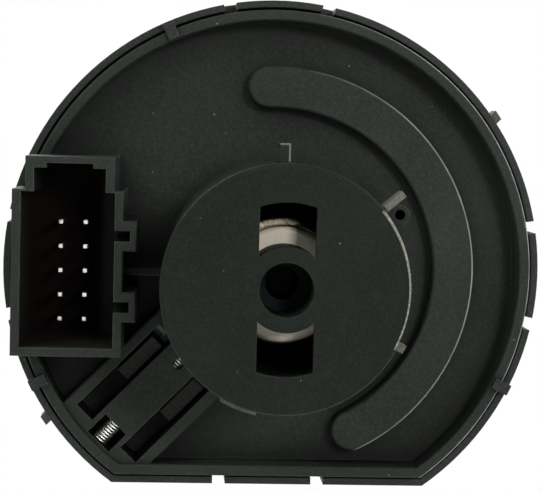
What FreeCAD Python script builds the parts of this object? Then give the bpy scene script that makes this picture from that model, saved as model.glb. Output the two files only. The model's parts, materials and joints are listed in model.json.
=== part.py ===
import FreeCAD
import Part
import math
import os

# Round rotary headlight switch for a car's dashboard.
# Millimetres. +Z is up, the knob's axis runs along Y, and the back faces -Y.
# Everything is first laid out on the back's own axes: x to the right, y up and z rearwards,
# with z = 0 at the rear edge of the bezel's ring. The last lines turn it upright.

os.makedirs("parts", exist_ok=True)

# Bezel ring
ring_radius = 42.0
ring_wall = 1.05
ring_depth = 15.5
flat_cut = 8.0
front_wall = 1.6
lip_height = 0.8
lip_width = 2.6
bezel_edge_radius = 0.7
notch_angle = 10.6
notch_width = 2.0
notch_depth = 6.0
flat_notch_offset = 7.8
hook_angles = (114.5, 206.5, 334.3)
hook_width = 1.7
hook_thickness = 0.8
hook_inset = 0.15

seat_band_start = 10.6
seat_step = 0.5

# Base housing
rim_gap = 0.45
rim_wall = 1.7
rim_height = 1.2
rim_edge_radius = 0.3
rim_seat_gap = 0.1
floor_level = -4.0
floor_wall = 1.8
drum_radius = 17.0
drum_wall = 1.1
guide_radius = 7.0
guide_height = 10.8
boss_wall = 1.1
boss_height = 2.0
post_radius = 1.6
post_side = 7.3
post_below = 4.9
post_top_inset = 4.6
post_right_inset = 4.2
post_flat_inset = 2.6
board_post_gap = 0.02

# Arc pad on the floor
pad_inset = 6.8
pad_width = 6.6
pad_start = -62.4
pad_end = 92.4
pad_height = 3.0
pad_edge_radius = 0.45

# Connector socket
socket_height = 13.0
socket_inset = 1.0
socket_width = 16.4
socket_bottom = -12.3
socket_step = 12.4
socket_top = 17.3
socket_neck_inset = 1.9
socket_neck_width = 13.1
socket_wall = 1.3
socket_top_wall = 1.7
socket_edge_radius = 0.3
key_bump = 2.0
key_bump_height = 4.5
key_centres = (5.75, -4.8)
key_slot = 1.6
key_slot_depth = 1.0
recess_width = 6.8
recess_depth = 0.7
rib_width = 1.2
rib_level = -0.2
rib_height = 5.0
rib_edge_radius = 0.3

# Contact pins
pin_width = 0.65
pin_pitch = 3.7
pin_rows = 5
pin_columns = 2
pin_inset = 8.6
pin_centre_y = -0.1
pin_top = 6.0
pin_tail = 0.8
pin_hole_gap = 0.1

# Latch guide at the lower left, along the latches' axis
latch_angle = 225.7
guide_block_half = 8.3
guide_block_top = 0.5
guide_block_edge = 0.45
pocket_inner = 3.1
pocket_outer = 6.5
pocket_gap = 1.7
pocket_inset = 2.2
window_half = 2.3
window_inset = 0.4
window_length = 3.9
peep_gap = 1.1
peep_radius = 0.9

# Latch sliders
latch_travel = 2.0
plate_half = 6.6
plate_thickness = 1.1
plate_gap = 0.2
plate_inset = 1.4
plate_wide_gap = 1.2
foot_half = 3.0
foot_start = 9.4
cam_pin_radius = 0.9
cam_pin_place = 12.7
cam_pin_gap = 0.1
arm_inner = 3.6
arm_outer = 5.8
arm_gap = 0.2
arm_length = 7.5
arm_top = -1.2
lug_offset = 7.95
lug_width = 1.6
lug_proud = 1.9
lug_room = 4.8
lug_height = 2.6
lug_gap = 0.25
stop_half = 1.35
stop_arm = 1.0
stop_inset = 0.3
stop_length = 1.0

# Latch springs
latch_spring_radius = 1.25
latch_wire = 0.3
latch_coils = 38
latch_spring_gap = 2.8
latch_spring_level = -1.45
channel_gap = 0.35

# Release ring and its cam
cap_gap = 0.2
ring_thickness = 2.2
leg_clearance = 0.4
leg_wall = 1.6
leg_half_angle = 9.0
leg_angles = (0.0, 180.0)
release_travel = 15.0
lobe_start = -28.0
lobe_end = 41.0
low_lobe_proud = 0.6
low_lobe_start = 241.0
low_lobe_end = 258.0
finger_proud = 3.5
finger_width = 1.0
tube_boss_radius = 1.4
tube_boss_bore = 0.75
tube_boss_offset = 2.3
tube_boss_angle = 32.7
tube_boss_top = 24.0
tube_boss_hole = 6.0
end_block_proud = 1.2
end_block_width = 1.2
cam_rim = 1.8
cam_thickness = 1.2
cam_gap = 0.2
cam_bore_gap = 0.05

# Rear cap
cap_overhang = 0.5
cap_top = 30.0
cap_wall = 1.4
cap_step_depth = 0.5
cap_skirt_gap = 0.3
cap_skirt_wall = 1.0
hub_radius = 5.95
hub_bore = 3.8
hub_depth = 7.5
cap_window_half = 3.95
cap_window_radius = 12.1
tab_width = 1.5
tab_proud = 3.1
tab_start = 14.0
tab_end = 20.5

# Shaft, spring and spring seat
shaft_radius = 5.0
shaft_gap = 0.05
shaft_bore = 2.4
shaft_bore_depth = 9.0
shaft_end_gap = 0.4
shaft_flat = 4.2
key_room = 1.5
flange_margin = 0.75
flange_thickness = 1.2
flange_gap = 0.1
push_travel = 2.5
seat_inner = 5.4
seat_outer = 8.3
seat_thickness = 2.0
seat_edge_radius = 0.7
spring_mean = 8.5
spring_wire = 0.7
spring_end_angle = 68.0
spring_coils = 5

# Board, rotor and contacts
board_thickness = 1.6
board_gap = 0.2
board_edge_gap = 0.4
board_hole_gap = 0.9
rotor_radius = 14.0
rotor_gap = 0.6
rotor_thickness = 2.2
rotor_hub_wall = 2.5
rotor_bearing_gap = 0.08
rotor_tail = 0.2
wiper_thickness = 0.3
wiper_inset = 1.4
wiper_width = 3.6
wiper_half_angle = 12.0
wiper_angles = (30.0, 150.0, 270.0)
wiper_tip = 0.2
detent_notches = 4
detent_first = -1
detent_pitch = 22.5
detent_radius = 0.9
leaf_thickness = 0.3
leaf_width = 1.6
leaf_half_length = 11.0
leaf_gap = 3.4
leaf_boss = 2.4
leaf_boss_thickness = 1.4
leaf_nub_gap = 0.05
led_width = 2.8
led_length = 3.4
led_height = 1.5

# Front: plate, lens, trim, knob
face_plate_thickness = 0.8
face_plate_gap = 0.1
symbol_offset = 6.5
symbol_width = 3.4
symbol_height = 1.6
symbol_angles = (45.0, 67.5, 90.0, 112.5, 135.0)
lens_half_width = 3.0
lens_thickness = 1.0
lens_margin = 8.0
face_width = 18.0
trim_wall = 1.8
trim_height = 4.6
knob_side_gap = 0.6
knob_wall = 1.4
knob_skirt = 8.5
knob_gap = 0.6
knob_front_wall = 2.0
knob_edge_radius = 1.2
knob_socket_wall = 1.6
knob_socket_depth = 5.0
grip_half_width = 3.6
grip_inset = 2.1
grip_height = 6.0
grip_edge_radius = 1.2
pointer_width = 1.2
pointer_length = 9.0
pointer_depth = 0.5
knob_band_depth = 1.2
knob_band_width = 2.0

# Radii and places that follow from the ring
flat_height = ring_radius - flat_cut
rim_outer = ring_radius - ring_wall - rim_gap
rim_inner = rim_outer - rim_wall
rim_flat = flat_height - ring_wall - rim_gap
post_top = (post_side, rim_inner - post_top_inset)
post_right = (rim_inner - post_right_inset, -post_below)
post_bottom = (0.0, -(rim_flat - rim_wall - post_flat_inset))
post_places = (post_top, post_right, post_bottom)
pad_outer = rim_inner - pad_inset
pad_inner = pad_outer - pad_width
socket_left = -(rim_outer - socket_inset)
socket_right = socket_left + socket_width
socket_neck_left = socket_left + socket_neck_inset
socket_neck_right = socket_neck_left + socket_neck_width
pin_centre_x = socket_left + pin_inset
plate_outer = rim_inner - plate_inset
stop_start = rim_inner - stop_inset
window_end = rim_inner - window_inset
window_start = window_end - window_length
pocket_end = rim_inner - pocket_inset
lug_start = rim_inner - lug_room
lug_reach = ring_radius + lug_proud
trim_outer = ring_radius - face_width
symbol_circle = trim_outer + symbol_offset
lens_inner = symbol_circle - lens_half_width
lens_outer = symbol_circle + lens_half_width
knob_radius = trim_outer - trim_wall - knob_side_gap
grip_half_length = knob_radius - grip_inset

# Radii that follow from the drum
drum_inner = drum_radius - drum_wall
pocket_start = drum_radius + pocket_gap
arm_start = pocket_start + latch_travel + arm_gap
arm_end = arm_start + arm_length
latch_spring_start = drum_radius + latch_spring_gap
plate_wide_start = latch_spring_start + plate_wide_gap
peep_place = latch_spring_start + peep_gap
cap_radius = drum_radius + cap_overhang
cap_step = cap_radius - cap_step_depth
lobe_radius = cap_radius
low_lobe_radius = cap_radius + low_lobe_proud
finger_reach = cap_radius + finger_proud
end_block_reach = cap_radius + end_block_proud
leg_outer = drum_inner - leg_clearance
leg_inner = leg_outer - leg_wall
cap_skirt_outer = leg_inner - cap_skirt_gap
cap_skirt_inner = cap_skirt_outer - cap_skirt_wall
cam_radius = leg_outer + cam_rim
tab_reach = drum_radius + tab_proud
tube_boss_circle = drum_radius + tube_boss_offset

# Radii that follow from the shaft and the springs
flange_radius = spring_mean + spring_wire / 2 + flange_margin
rotor_hub = shaft_radius + rotor_hub_wall
board_hole = rotor_hub + board_hole_gap
wiper_outer = rotor_radius - wiper_inset
wiper_inner = wiper_outer - wiper_width
leaf_distance = rotor_radius + leaf_gap

# Levels that follow
floor_under = floor_level - floor_wall
cam_rear = floor_under - cam_gap
cam_front = cam_rear - cam_thickness
plate_rear = cam_front - plate_gap
plate_front = plate_rear - plate_thickness
board_rear = plate_front - board_gap
board_front = board_rear - board_thickness
rotor_rear = board_front - rotor_gap
rotor_front = rotor_rear - rotor_thickness
wall_rear = -ring_depth
wall_front = wall_rear - front_wall
plate_face = wall_front - face_plate_thickness
cap_under = cap_top - cap_wall
ring_top = cap_under - cap_gap
ring_under = ring_top - ring_thickness
hub_end = cap_top - hub_depth
stop_side = stop_half + lug_gap + stop_arm
seat_under = hub_end - seat_thickness
flange_front = guide_height + flange_gap
flange_rear = flange_front + flange_thickness
rim_depth = ring_depth - rim_seat_gap
drum_height = ring_under - cap_gap
shaft_rear = hub_end - push_travel - shaft_end_gap
flat_start = rotor_rear + key_room
knob_rear = wall_front - push_travel - knob_gap
knob_front = knob_rear - knob_skirt
shaft_front = knob_front + knob_front_wall

UP = FreeCAD.Vector(0, 0, 1)
ORIGIN = FreeCAD.Vector(0, 0, 0)


def disc(radius, low, high, x=0.0, y=0.0):
    return Part.makeCylinder(radius, high - low, FreeCAD.Vector(x, y, low), UP)


def tube(inner, outer, low, high):
    return disc(outer, low, high).cut(disc(inner, low - 1, high + 1))


def block(x0, x1, y0, y1, low, high):
    corner = FreeCAD.Vector(min(x0, x1), min(y0, y1), low)
    return Part.makeBox(abs(x1 - x0), abs(y1 - y0), high - low, corner)


def turned(shape, angle):
    copy = shape.copy()
    copy.rotate(ORIGIN, UP, angle)
    return copy


def wedge(radius, start, end, low, high):
    return turned(Part.makeCylinder(radius, high - low, FreeCAD.Vector(0, 0, low), UP, end - start), start)


def sector(inner, outer, start, end, low, high):
    return wedge(outer, start, end, low, high).cut(disc(inner, low - 1, high + 1))


def along_latch(shape, angle=None):
    return turned(shape, latch_angle if angle is None else angle)


def fuse(shapes):
    result = shapes[0]
    if len(shapes) > 1:
        result = shapes[0].fuse(shapes[1:])
    return result.removeSplitter()


def cut(shape, tools):
    return shape.cut(tools).removeSplitter()


def polar(radius, angle):
    turn = math.radians(angle)
    return radius * math.cos(turn), radius * math.sin(turn)


def flat_disc(radius, flat, low, high):
    # A disc whose bottom is cut off level, as the whole switch is.
    side = radius + 5
    return disc(radius, low, high).common(block(-side, side, -flat, side, low, high))


def coil(mean, wire, low, high, turns):
    # A spring with its axis along z: the wire's ends stay inside low and high.
    rise = high - low - wire
    path = Part.makeHelix(rise / turns, rise, mean)
    path.translate(FreeCAD.Vector(0, 0, low + wire / 2))
    start = FreeCAD.Vector(mean, 0, low + wire / 2)
    slope = FreeCAD.Vector(0, 2 * math.pi * mean, rise / turns)
    ring = Part.Wire([Part.makeCircle(wire / 2, start, slope)])
    body = Part.Wire(path).makePipeShell([ring], True, True)
    if body.Volume < 0:
        body.reverse()
    return body


def edges_at(shape, level, least):
    # The edges that lie flat at one level and reach out at least so far from the axis.
    chosen = []
    for edge in shape.Edges:
        box = edge.BoundBox
        if abs(box.ZMin - level) < 1e-4 and abs(box.ZMax - level) < 1e-4:
            reach = max(math.hypot(v.Point.x, v.Point.y) for v in edge.Vertexes)
            if reach >= least:
                chosen.append(edge)
    return chosen


# Bezel: ring, front wall and the lip around the face plate
# The front band stands a little prouder than the ring: it is what seats in the panel's opening.
seat_radius = ring_radius + seat_step
band = flat_disc(seat_radius, flat_height + seat_step, wall_front - lip_height, -seat_band_start)
band = band.makeFillet(bezel_edge_radius, edges_at(band, wall_front - lip_height, 0))
bezel_solid = fuse([band, flat_disc(ring_radius, flat_height, -seat_band_start, 0)])
hollow = flat_disc(ring_radius - ring_wall, flat_height - ring_wall, wall_rear, 1)
face_recess = flat_disc(ring_radius - lip_width, flat_height - lip_width, wall_front - lip_height - 1,
                        wall_front)
bezel_cuts = [hollow, face_recess, disc(rotor_hub + rotor_bearing_gap, wall_front - 1, 1)]
for side in (0, 90, 180):
    for turn in (-notch_angle, notch_angle):
        slot = block(ring_radius - ring_wall - 1, ring_radius + 1, -notch_width / 2, notch_width / 2,
                     -notch_depth, 1)
        bezel_cuts.append(turned(slot, side + turn))
for side in (-1, 1):
    x = side * flat_notch_offset
    low_y = -flat_height - 1
    high_y = -flat_height + ring_wall + 1
    bezel_cuts.append(block(x - notch_width / 2, x + notch_width / 2, low_y, high_y, -notch_depth, 1))
lug_low = plate_front - lug_gap
lug_high = plate_front + lug_height + plate_thickness + lug_gap
for turn in (0, 180):
    half = lug_width / 2 + lug_gap
    hole = block(rim_inner - 4, ring_radius + 3, -lug_offset - half, -lug_offset + half, lug_low, lug_high)
    bezel_cuts.append(along_latch(hole, latch_angle + turn))
for angle in symbol_angles:
    x, y = polar(symbol_circle, angle)
    hole = block(-symbol_height / 2, symbol_height / 2, -symbol_width / 2, symbol_width / 2,
                 wall_front - 1, wall_rear + 1)
    hole.translate(FreeCAD.Vector(symbol_circle, 0, 0))
    bezel_cuts.append(turned(hole, angle))
bezel = cut(bezel_solid, bezel_cuts)
bezel_parts = [bezel]
for angle in hook_angles:
    inner = rim_inner + 0.3
    post = block(ring_radius - ring_wall, ring_radius, -hook_width / 2, hook_width / 2, -1,
                 rim_height + hook_thickness)
    post = post.common(disc(ring_radius - hook_inset, -1, rim_height + hook_thickness))
    arm = block(inner, ring_radius - 0.3, -hook_width / 2, hook_width / 2, rim_height,
                rim_height + hook_thickness)
    bezel_parts.append(turned(post.fuse(arm), angle))
# Two slotted bosses on the front wall hold the detent's leaf spring.
leaf_mid = rotor_front + rotor_thickness / 2
leaf_low = leaf_mid - leaf_width / 2
leaf_high = leaf_mid + leaf_width / 2
for side in (-1, 1):
    outer = side * (leaf_half_length + leaf_boss / 2)
    inner = side * (leaf_half_length - leaf_boss / 2)
    near = -leaf_distance + leaf_boss_thickness + leaf_thickness / 2
    far = -leaf_distance - leaf_boss_thickness - leaf_thickness / 2
    boss = block(inner, outer, far, near, wall_rear, leaf_high)
    slot_x = side * (leaf_half_length + 0.1)
    slot_half = leaf_thickness / 2 + 0.02
    slot = block(inner - side, slot_x, -leaf_distance - slot_half, -leaf_distance + slot_half,
                 leaf_low - 0.02, leaf_high + 1)
    bezel_parts.append(boss.cut(slot))
bezel = fuse(bezel_parts)

# Face plate, lens and trim ring on the front
plate_outer_r = ring_radius - lip_width - face_plate_gap
plate_flat = flat_height - lip_width - face_plate_gap
face_plate = flat_disc(plate_outer_r, plate_flat, plate_face,
                       wall_front).cut(disc(trim_outer + face_plate_gap, plate_face - 1, wall_front + 1))
symbol_holes = []
for angle in symbol_angles:
    hole = block(-symbol_height / 2, symbol_height / 2, -symbol_width / 2, symbol_width / 2,
                 plate_face - 1, wall_front + 1)
    hole.translate(FreeCAD.Vector(symbol_circle, 0, 0))
    symbol_holes.append(turned(hole, angle))
face_plate = cut(face_plate, symbol_holes)
lens_start = min(symbol_angles) - lens_margin
lens_end = max(symbol_angles) + lens_margin
symbol_lens = sector(lens_inner, lens_outer, lens_start, lens_end, wall_rear, wall_rear + lens_thickness)
trim_ring = tube(trim_outer - trim_wall, trim_outer, wall_front - trim_height, wall_front)
trim_ring = trim_ring.makeFillet(0.5, edges_at(trim_ring, wall_front - trim_height, 0))

# Base housing
rim = flat_disc(rim_outer, rim_flat, -rim_depth, rim_height)
well = flat_disc(rim_inner, rim_flat - rim_wall, floor_level, rim_height + 1)
under = flat_disc(rim_inner, rim_flat - rim_wall, -rim_depth - 1, floor_under)
base = rim.cut([well, under])
base = base.makeFillet(rim_edge_radius, edges_at(base, rim_height, 0))
base_parts = [base]
base_parts.append(tube(drum_inner, drum_radius, floor_level, drum_height))
base_parts.append(tube(shaft_radius + shaft_gap, guide_radius, cam_front, guide_height))
boss_outer = cap_skirt_inner - face_plate_gap
base_parts.append(tube(boss_outer - boss_wall, boss_outer, floor_level, floor_level + boss_height))
pad_mid = (pad_inner + pad_outer) / 2
pad_cap = (pad_outer - pad_inner) / 2
pad_parts = [sector(pad_inner, pad_outer, pad_start, pad_end, floor_level, floor_level + pad_height)]
for angle in (pad_start, pad_end):
    x, y = polar(pad_mid, angle)
    pad_parts.append(disc(pad_cap, floor_level, floor_level + pad_height, x, y))
pad = fuse(pad_parts)
base_parts.append(pad.makeFillet(pad_edge_radius, edges_at(pad, floor_level + pad_height, 0)))
for x, y in post_places:
    base_parts.append(disc(post_radius, board_rear + board_post_gap, floor_under, x, y))

# The connector's outer block, kept inside the rim below the rim's edge
socket = block(socket_left, socket_right, socket_bottom, socket_step, floor_level, socket_height)
neck = block(socket_neck_left, socket_neck_right, socket_step, socket_top, floor_level, socket_height)
socket_parts = [socket, neck]
for centre in key_centres:
    socket_parts.append(block(socket_right, socket_right + key_bump, centre - key_bump_height / 2,
                              centre + key_bump_height / 2, floor_level, socket_height))
socket = fuse(socket_parts)
inside = flat_disc(rim_outer, flat_height, floor_level, rim_height)
above = block(-2 * ring_radius, 0, -ring_radius, ring_radius, rim_height, socket_height + 1)
socket = socket.common(inside.fuse(above)).removeSplitter()
socket = socket.makeFillet(socket_edge_radius, edges_at(socket, socket_height, 0))
base_parts.append(socket)
rib_left = socket_right - socket_wall
rib = block(rib_left, -drum_inner - 0.4, rib_level - rib_width / 2, rib_level + rib_width / 2,
            floor_level, rib_height)
base_parts.append(rib.makeFillet(rib_edge_radius, edges_at(rib, rib_height, 0)))

# The latch guide: a raised block from the drum out to the rim
guide_block = block(drum_inner + 0.3, rim_outer, -guide_block_half, guide_block_half, floor_under,
                    guide_block_top)
guide_block = guide_block.common(disc(rim_outer, floor_under,
                                      guide_block_top).cut(disc(drum_inner + 0.3, floor_under - 1,
                                                                guide_block_top + 1)))
guide_block = along_latch(guide_block).common(flat_disc(rim_outer, rim_flat, floor_under,
                                                        guide_block_top)).removeSplitter()
guide_block = guide_block.makeFillet(guide_block_edge, edges_at(guide_block, guide_block_top, 0))
base_parts.append(guide_block)

# Small hooked tab at the top of the drum wall
hook = block(-tab_width / 2, tab_width / 2, drum_inner + 0.3, tab_reach, tab_start, tab_end)
hook_void = block(-tab_width, tab_width, drum_radius + 0.6, tab_reach - 0.8, tab_start - 1, tab_end - 1.2)
base_parts.append(hook.cut(hook_void))
x, y = polar(tube_boss_circle, tube_boss_angle)
base_parts.append(disc(tube_boss_radius, floor_level, tube_boss_top, x, y))
web = block(drum_inner + 0.3, tube_boss_circle, -tube_boss_radius, tube_boss_radius, floor_level,
            tube_boss_top)
base_parts.append(turned(web, tube_boss_angle))
base = fuse(base_parts)

base_cuts = [disc(tube_boss_bore, tube_boss_top - tube_boss_hole, tube_boss_top + 1, x, y),
             disc(shaft_radius + shaft_gap, floor_under - 5, guide_height + 1)]
cavity_floor = floor_level
cavity_left = socket_left + socket_wall
cavity_right = socket_right - socket_wall
cavity_bottom = socket_bottom + socket_wall
base_cuts.append(block(cavity_left, cavity_right, cavity_bottom, socket_step - 0.3, cavity_floor,
                       socket_height + 1))
neck_left = socket_neck_left + socket_wall
neck_right = socket_neck_right - socket_wall
neck_top = socket_top - socket_top_wall
base_cuts.append(block(neck_left, neck_right, socket_step - 1, neck_top, cavity_floor, socket_height + 1))
recess_mid = (neck_left + neck_right) / 2
base_cuts.append(block(recess_mid - recess_width / 2, recess_mid + recess_width / 2, neck_top - 1,
                       neck_top + recess_depth, cavity_floor, socket_height + 1))
for centre in key_centres:
    slot_right = cavity_right + socket_wall + key_slot_depth
    base_cuts.append(block(cavity_right - 1, slot_right, centre - key_slot / 2, centre + key_slot / 2,
                           cavity_floor, socket_height + 1))
pin_half = pin_width / 2
hole_half = pin_half + pin_hole_gap
pin_places = []
for column in range(pin_columns):
    x = pin_centre_x + (column - (pin_columns - 1) / 2) * pin_pitch
    for row in range(pin_rows):
        y = pin_centre_y + (row - (pin_rows - 1) / 2) * pin_pitch
        pin_places.append((column, x, y))
        base_cuts.append(block(x - pin_half, x + pin_half, y - pin_half, y + pin_half, floor_under - 1,
                               floor_level + 1))
# Slots in the floor for the legs of the release ring, with room for its turn
leg_room = 0.25
leg_play = math.degrees(leg_room / leg_inner)
for angle in leg_angles:
    start = angle - leg_half_angle - leg_play
    end = angle + leg_half_angle + release_travel + leg_play
    base_cuts.append(sector(leg_inner - leg_room, leg_outer + leg_room, start, end, floor_under - 1,
                            floor_level + 1))
# Room in the latch guide: two pockets, the spring's channel, its window, a peep hole, the stop's recess
for side in (-1, 1):
    base_cuts.append(along_latch(block(pocket_start, pocket_end, side * pocket_inner, side * pocket_outer,
                                       floor_under - 1, guide_block_top + 1)))
channel_half = latch_spring_radius + channel_gap
channel_top = latch_spring_level + latch_spring_radius + channel_gap / 2
channel_start = latch_spring_start - 0.1
base_cuts.append(along_latch(block(channel_start, stop_start + stop_length, -channel_half, channel_half,
                                   floor_under - 1, channel_top)))
base_cuts.append(along_latch(block(window_start, window_end, -window_half, window_half, floor_under - 1,
                                   guide_block_top + 1)))
base_cuts.append(along_latch(disc(peep_radius, latch_spring_level, guide_block_top + 1, peep_place, 0)))
stop_room = stop_start + stop_length + lug_gap
base_cuts.append(along_latch(block(window_end - 2, stop_room, -stop_half - lug_gap, stop_half + lug_gap,
                                   -rim_depth - 1, channel_top)))
# The upper latch's stop and both lugs leave through slots that are open to the front
base_cuts.append(along_latch(block(window_end - 2, stop_room, -stop_side - lug_gap, stop_side + lug_gap,
                                   -rim_depth - 1, floor_under), latch_angle + 180))
base_cuts.append(along_latch(block(window_end - 2, stop_room, -stop_side - lug_gap, stop_side + lug_gap,
                                   -rim_depth - 1, floor_under)))
for turn in (0, 180):
    half = lug_width / 2 + lug_gap
    slot = block(lug_start, ring_radius, -lug_offset - half, -lug_offset + half, -rim_depth - 1, floor_under)
    base_cuts.append(along_latch(slot, latch_angle + turn))
    slot = block(rim_inner - 1.2, ring_radius, -lug_offset - half, -lug_offset + half, -rim_depth - 1,
                 lug_high)
    base_cuts.append(along_latch(slot, latch_angle + turn))
base = cut(base, base_cuts)
# Inner end wall that the upper latch's spring pushes against
upper_stop = block(latch_spring_start - 1.3, latch_spring_start - 0.1, -stop_half, stop_half, plate_front,
                   floor_under)
base = fuse([base, along_latch(upper_stop, latch_angle + 180)])

# Contact pins
pin_solids = [[] for column in range(pin_columns)]
for column, x, y in pin_places:
    pin = block(x - pin_half, x + pin_half, y - pin_half, y + pin_half, board_front - pin_tail, pin_top)
    tip = [edge for edge in pin.Edges if abs(edge.BoundBox.ZMin - pin_top) < 1e-4]
    pin_solids[column].append(pin.makeChamfer(0.12, tip))

# Rear cap
cap = disc(cap_radius, cap_under, cap_top)
cap = cap.makeFillet(0.5, edges_at(cap, cap_top, 0))
cap_parts = [cap, tube(cap_skirt_inner, cap_skirt_outer, floor_level, cap_under)]
cap_parts.append(disc(hub_radius, hub_end, cap_top))
cap = fuse(cap_parts)
cap_cuts = [disc(hub_bore, hub_end - 1, cap_top + 1)]
window = block(-cap_window_half, cap_window_half, -cap_window_radius, cap_window_radius, cap_under - 1,
               cap_top + 1)
window = window.common(tube(hub_radius, cap_window_radius, cap_under - 1, cap_top + 1))
cap_cuts.append(window)
cap_cuts.append(sector(cap_step, cap_radius + 1, lobe_start, lobe_end, cap_under - 1, cap_top + 1))
cap = cut(cap, cap_cuts)

# Release ring with its legs
release_parts = [tube(leg_inner, drum_radius, ring_under, ring_top)]
release_parts.append(sector(drum_inner, lobe_radius, lobe_start, lobe_end, ring_under, ring_top))
release_parts.append(sector(drum_inner, low_lobe_radius, low_lobe_start, low_lobe_end, ring_under, ring_top))
finger = block(drum_inner, finger_reach, -finger_width / 2, finger_width / 2, ring_under, cap_under + 0.6)
finger = finger.cut(disc(cap_radius + cap_gap, ring_top, cap_top))
release_parts.append(turned(finger, lobe_end - 0.5))
end_block = block(drum_inner, end_block_reach, -end_block_width / 2, end_block_width / 2, ring_under,
                  ring_top)
release_parts.append(turned(end_block, lobe_start + 2))
for angle in leg_angles:
    release_parts.append(sector(leg_inner, leg_outer, angle - leg_half_angle, angle + leg_half_angle,
                                cam_rear, ring_under + 1))
release_ring = fuse(release_parts)

# Release cam: each slot draws one latch's pin inwards as the ring turns
cam = tube(guide_radius + cam_bore_gap, cam_radius, cam_front, cam_rear)


def cam_slot(angle):
    half = cam_pin_radius + cam_pin_gap
    points = []
    for share in (0.0, 0.5, 1.0):
        radius = cam_pin_place - latch_travel * share
        # The ring turns by +release_travel, so the pin runs backwards along the slot.
        x, y = polar(radius, angle - release_travel * share)
        points.append(FreeCAD.Vector(x, y, 0))
    arc = Part.Arc(points[0], points[1], points[2]).toShape().Curve
    centre = arc.Center
    radius = arc.Radius
    pieces = [disc(half, cam_front - 1, cam_rear + 1, p.x, p.y) for p in (points[0], points[2])]
    band = disc(radius + half, cam_front - 1, cam_rear + 1, centre.x, centre.y)
    band = band.cut(disc(radius - half, cam_front - 2, cam_rear + 2, centre.x, centre.y))
    # A box around the chord keeps only the slot's own stretch of that band.
    chord = points[2] - points[0]
    length = chord.Length
    box = Part.makeBox(length, 4 * half, cam_thickness + 2, FreeCAD.Vector(0, -2 * half, cam_front - 1))
    box.rotate(ORIGIN, UP, math.degrees(math.atan2(chord.y, chord.x)))
    box.translate(points[0])
    pieces.append(band.common(box))
    return fuse(pieces)


release_cam = cut(cam, [cam_slot(latch_angle), cam_slot(latch_angle + 180)])


# Latch sliders
def slider(angle, raised):
    parts = []
    parts.append(block(foot_start, plate_wide_start + 1, -foot_half, foot_half, plate_front, plate_rear))
    wide = block(plate_wide_start, plate_outer, -plate_half, plate_half, plate_front, plate_rear)
    parts.append(wide.common(disc(rim_inner - 0.4, plate_front, plate_rear)))
    parts.append(disc(cam_pin_radius, plate_front, cam_rear - 0.1, cam_pin_place, 0))
    low = -lug_offset - lug_width / 2
    high = -lug_offset + lug_width / 2
    parts.append(block(lug_start + latch_travel + lug_gap, plate_outer, low, -plate_half + 0.5,
                       plate_front, plate_rear))
    lug = block(rim_inner - 3, lug_reach, low, high, plate_front, plate_rear)
    lug_head = block(rim_inner + latch_travel + 0.1, lug_reach, low, high, plate_front,
                     plate_rear + lug_height)
    lug_head = lug_head.common(disc(lug_reach, plate_front, plate_rear + lug_height))
    parts.append(lug.common(disc(lug_reach, plate_front, plate_rear)))
    parts.append(lug_head)
    stop_top = latch_spring_level + latch_spring_radius if raised else floor_under - lug_gap
    parts.append(block(plate_outer - 1.5, stop_start + stop_length, -stop_side, stop_side, plate_front,
                       plate_rear))
    parts.append(block(stop_start, stop_start + stop_length, -stop_half, stop_half, plate_front, stop_top))
    if raised:
        for side in (-1, 1):
            parts.append(block(arm_start, arm_end, side * arm_inner, side * arm_outer, plate_front, arm_top))
    body = fuse(parts)
    if not raised:
        # The upper spring lies in a slot through the plate.
        half = stop_half + lug_gap
        body = cut(body, [block(latch_spring_start - 1.3 - lug_gap, stop_start, -half, half,
                                plate_front - 1, floor_under)])
    # The plate clears the housing's flat bottom wall.
    body = along_latch(body, angle)
    room = flat_disc(ring_radius + lug_reach, rim_flat - rim_wall - lug_gap, plate_front - 1, guide_block_top)
    return body.common(room).removeSplitter()


lower_latch = slider(latch_angle, True)
upper_latch = slider(latch_angle + 180, False)


def latch_spring(angle, level):
    spring = coil(latch_spring_radius - latch_wire / 2, latch_wire, latch_spring_start, stop_start,
                  latch_coils)
    spring.rotate(ORIGIN, FreeCAD.Vector(0, 1, 0), 90)
    spring.translate(FreeCAD.Vector(0, 0, level))
    return along_latch(spring, angle)


lower_spring = latch_spring(latch_angle, latch_spring_level)
upper_level = floor_under - 0.15 - latch_spring_radius
upper_spring = latch_spring(latch_angle + 180, upper_level)

# Shaft, return spring and its seat
shaft = fuse([disc(shaft_radius, shaft_front, shaft_rear), disc(flange_radius, flange_front, flange_rear)])
shaft_cuts = [disc(shaft_bore, shaft_rear - shaft_bore_depth, shaft_rear + 1)]
for side in (-1, 1):
    shaft_cuts.append(block(-shaft_radius - 1, shaft_radius + 1, side * shaft_flat,
                            side * (shaft_radius + 1), shaft_front - 1, flat_start))
shaft = cut(shaft, shaft_cuts)
spring_seat = tube(seat_inner, seat_outer, seat_under, hub_end)
spring_seat = spring_seat.makeFillet(seat_edge_radius, edges_at(spring_seat, hub_end, seat_outer - 0.1))
return_spring = turned(coil(spring_mean, spring_wire, flange_rear, seat_under, spring_coils),
                       spring_end_angle)

# Board, contact rotor, wipers, detent leaf, lamps
board_radius = rim_inner - board_edge_gap
board_flat = rim_flat - rim_wall - board_edge_gap
board = flat_disc(board_radius, board_flat, board_front, board_rear)
board_cuts = [disc(board_hole, board_front - 1, board_rear + 1)]
for column, x, y in pin_places:
    board_cuts.append(block(x - hole_half, x + hole_half, y - hole_half, y + hole_half, board_front - 1,
                            board_rear + 1))
board = cut(board, board_cuts)

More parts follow.
